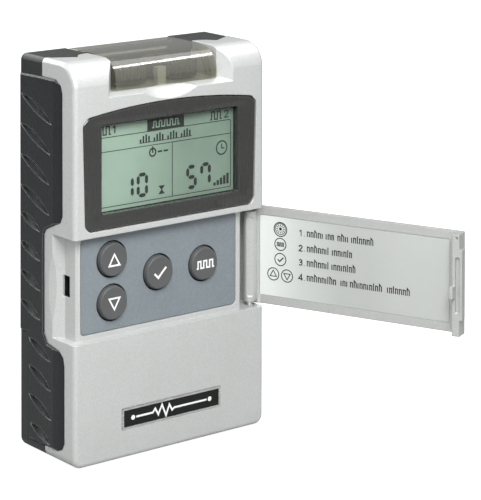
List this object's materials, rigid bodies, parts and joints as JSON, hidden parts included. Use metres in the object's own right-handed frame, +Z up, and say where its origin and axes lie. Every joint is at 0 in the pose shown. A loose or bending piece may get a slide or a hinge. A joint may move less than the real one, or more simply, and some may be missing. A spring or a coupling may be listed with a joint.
{
  "type": "tens unit",
  "caption": "Handheld two-channel nerve stimulator with screen, keypad behind a hinged door, dials under a clear lid, rubber side grips and belt clip.",
  "frame": {"origin": "centre of the closed case's base, midway between its front and back faces", "axes": "+X to the case's right as seen from the front, -Y out of the front (screen side), +Z up"},
  "size_m": [0.0871, 0.0836, 0.102],
  "materials": {
    "silver_case": "metallic silver paint over moulded ABS, satin",
    "silver_door": "metallic silver paint over moulded ABS, satin",
    "black_case": "moulded ABS, fine matt texture",
    "grip_rubber": "soft matt rubber",
    "bezel": "glossy dark grey moulding",
    "window": "clear plastic window",
    "lcd": "grey-green reflective display cell",
    "white_plastic": "white moulded plastic",
    "strip_rubber": "striped contact rubber",
    "key_panel": "blue-grey printed overlay",
    "key_rubber": "dark grey moulded rubber",
    "plate_black": "black printed plate",
    "plate_rim": "bright thin rim",
    "label": "printed label with a matt film",
    "lid_smoke": "smoky clear plastic",
    "dial": "black moulded thumbwheel",
    "steel": "plain steel",
    "shaft": "plated brass",
    "board": "green glass-fibre board",
    "component_black": "black moulded component",
    "switch": "steel can over black body",
    "capacitor": "sleeved aluminium can",
    "ferrite": "dark ferrite core with taped winding",
    "jack": "black socket moulding",
    "battery": "printed thin metal jacket",
    "snap": "black vinyl snap",
    "lead_red": "red insulation",
    "lead_black": "black insulation",
    "clip": "moulded spring plastic"
  },
  "bodies": {
    "unit": {"front_shell": "silver_case", "rear_shell": "black_case", "left_grip": "grip_rubber", "right_grip": "grip_rubber", "lcd_bezel": "bezel", "lcd_window": "window", "lcd_panel": "lcd", "lcd_frame": "white_plastic", "lcd_connector_strip": "strip_rubber", "key_panel": "key_panel", "name_plate": "plate_black", "name_plate_frame": "plate_rim", "door_hinge_pins": "steel", "lid_hinge_pin": "steel", "main_board": "board", "tact_switches": "switch", "chips": "component_black", "capacitors": "capacitor", "buzzer": "component_black", "transformer_ch1": "ferrite", "transformer_ch2": "ferrite", "potentiometer_ch1": "component_black", "potentiometer_ch2": "component_black", "output_jack_ch1": "jack", "output_jack_ch2": "jack", "battery_9v": "battery", "battery_snap": "snap", "battery_lead_pos": "lead_red", "battery_lead_neg": "lead_black", "case_screws": "steel"},
    "door": {"keypad_door": "silver_door", "door_label": "label"},
    "lid": {"dial_cover": "lid_smoke"},
    "dial_ch1": {"dial_ch1": "dial", "pot_shaft_ch1": "shaft"},
    "dial_ch2": {"dial_ch2": "dial", "pot_shaft_ch2": "shaft"},
    "button_up": {"button_up": "key_rubber"},
    "button_down": {"button_down": "key_rubber"},
    "button_set": {"button_set": "key_rubber"},
    "button_mode": {"button_mode": "key_rubber"},
    "battery_cover": {"battery_cover": "black_case"},
    "belt_clip": {"belt_clip": "clip"}
  },
  "joints": [
    {"name": "door_hinge", "type": "hinge", "parent": "unit", "child": "door", "pos_m": [0.02885, -0.00875, 0.0446], "axis": [0, 0, 1], "range_deg": [-113.6, 20]},
    {"name": "lid_hinge", "type": "hinge", "parent": "unit", "child": "lid", "pos_m": [0, 0.01015, 0.1004], "axis": [-1, 0, 0], "range_deg": [0, 110]},
    {"name": "dial_ch1_turn", "type": "hinge", "parent": "unit", "child": "dial_ch1", "pos_m": [-0.0084, -0.00005, 0.0965], "axis": [0, 0, 1], "range_deg": [0, 300]},
    {"name": "dial_ch2_turn", "type": "hinge", "parent": "unit", "child": "dial_ch2", "pos_m": [0.0084, -0.00005, 0.0965], "axis": [0, 0, 1], "range_deg": [0, 300]},
    {"name": "button_up_press", "type": "slide", "parent": "unit", "child": "button_up", "axis": [0, 1, 0], "range_m": [0, 0.0005], "stiffness_N_per_m": 400},
    {"name": "button_down_press", "type": "slide", "parent": "unit", "child": "button_down", "axis": [0, 1, 0], "range_m": [0, 0.0005], "stiffness_N_per_m": 400},
    {"name": "button_set_press", "type": "slide", "parent": "unit", "child": "button_set", "axis": [0, 1, 0], "range_m": [0, 0.0005], "stiffness_N_per_m": 400},
    {"name": "button_mode_press", "type": "slide", "parent": "unit", "child": "button_mode", "axis": [0, 1, 0], "range_m": [0, 0.0005], "stiffness_N_per_m": 400},
    {"name": "battery_cover_pull", "type": "slide", "parent": "unit", "child": "battery_cover", "axis": [0, 1, 0], "range_m": [0, 0.03]},
    {"name": "belt_clip_slide", "type": "slide", "parent": "unit", "child": "belt_clip", "axis": [0, 0, 1], "range_m": [0, 0.021]}
  ]
}
